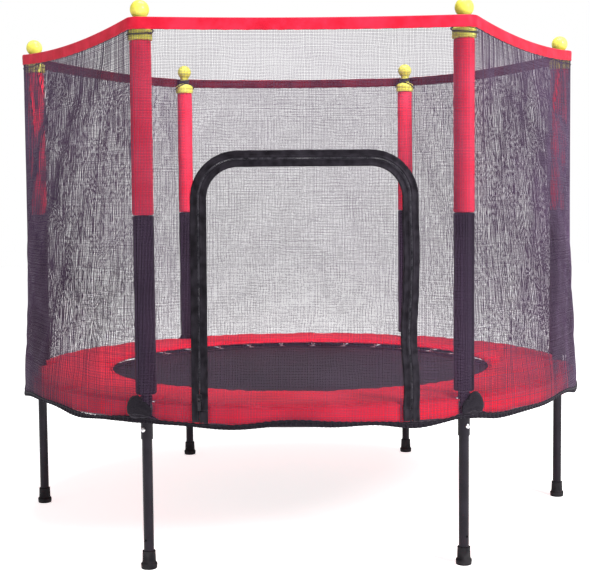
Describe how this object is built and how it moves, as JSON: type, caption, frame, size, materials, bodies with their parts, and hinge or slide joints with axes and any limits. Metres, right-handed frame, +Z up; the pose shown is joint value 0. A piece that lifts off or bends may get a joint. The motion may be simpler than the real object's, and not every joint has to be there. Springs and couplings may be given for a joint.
{
  "type": "round trampoline with safety net",
  "caption": "Round children's trampoline on straight legs, with foam-padded poles, a padded rim and a safety net with a zipped door.",
  "frame": {"origin": "on the floor, under the middle of the mat", "axes": "+Z up, -Y out of the door, +X to the right of a person who looks at the door from outside"},
  "size_m": [1.41, 1.4088, 1.2],
  "materials": {
    "frame_paint": "gloss black",
    "foot_rubber": "matt black",
    "zinc": "zinc plated",
    "foam_black": "black foam skin",
    "foam_red": "red foam skin",
    "cap_yellow": "gloss lemon yellow",
    "mat_weave": "woven black",
    "webbing_black": "woven webbing",
    "pad_red": "satin coated cloth",
    "net_mesh": "knitted mesh",
    "band_red": "satin tape",
    "zip_black": "woven tape with nylon coil",
    "zip_metal": "black enamel"
  },
  "bodies": {
    "frame": {"frame_arc_1": "frame_paint", "frame_arc_2": "frame_paint", "frame_arc_3": "frame_paint", "frame_arc_4": "frame_paint", "frame_arc_5": "frame_paint", "frame_arc_6": "frame_paint", "leg_1": "frame_paint", "leg_2": "frame_paint", "leg_3": "frame_paint", "leg_4": "frame_paint", "leg_5": "frame_paint", "leg_6": "frame_paint", "foot_1": "foot_rubber", "foot_2": "foot_rubber", "foot_3": "foot_rubber", "foot_4": "foot_rubber", "foot_5": "foot_rubber", "foot_6": "foot_rubber", "pole_1": "frame_paint", "pole_2": "frame_paint", "pole_3": "frame_paint", "pole_4": "frame_paint", "pole_5": "frame_paint", "pole_6": "frame_paint", "foam_lower_1": "foam_black", "foam_lower_2": "foam_black", "foam_lower_3": "foam_black", "foam_lower_4": "foam_black", "foam_lower_5": "foam_black", "foam_lower_6": "foam_black", "foam_upper_1": "foam_red", "foam_upper_2": "foam_red", "foam_upper_3": "foam_red", "foam_upper_4": "foam_red", "foam_upper_5": "foam_red", "foam_upper_6": "foam_red", "pole_cap_1": "cap_yellow", "pole_cap_2": "cap_yellow", "pole_cap_3": "cap_yellow", "pole_cap_4": "cap_yellow", "pole_cap_5": "cap_yellow", "pole_cap_6": "cap_yellow", "leg_screws": "zinc", "safety_pad": "pad_red", "net_left": "net_mesh", "net_back": "net_mesh", "net_right": "net_mesh", "net_front": "net_mesh", "top_band": "band_red", "neck_loops": "webbing_black", "net_hem": "webbing_black", "zip_tape_wall": "zip_black"},
    "mat": {"jump_mat": "mat_weave", "mat_edge": "webbing_black", "mat_links": "zinc", "springs": "zinc"},
    "door": {"door_net": "net_mesh", "zip_tape_door": "zip_black"},
    "slider": {"zip_slider": "zip_metal"},
    "pull": {"zip_pull": "zip_metal"}
  },
  "joints": [
    {"name": "mat_bounce", "type": "slide", "parent": "frame", "child": "mat", "axis": [0, 0, 1], "range_m": [-0.15, 0], "stiffness_N_per_m": 3000, "springref_m": 0.006, "deforming": ["springs"]},
    {"name": "door_fold", "type": "hinge", "parent": "frame", "child": "door", "pos_m": [0, -0.7045, 0.352], "axis": [1, 0, 0], "range_deg": [0, 120]},
    {"name": "zip_slide", "type": "slide", "parent": "door", "child": "slider", "axis": [0, 0.0706, 0.9975], "range_m": [0, 0.395]},
    {"name": "zip_pull_swing", "type": "hinge", "parent": "slider", "child": "pull", "pos_m": [-0.21984, -0.67315, 0.37953], "axis": [-0.9732, 0.2295, -0.0163], "range_deg": [-3, 150]}
  ]
}
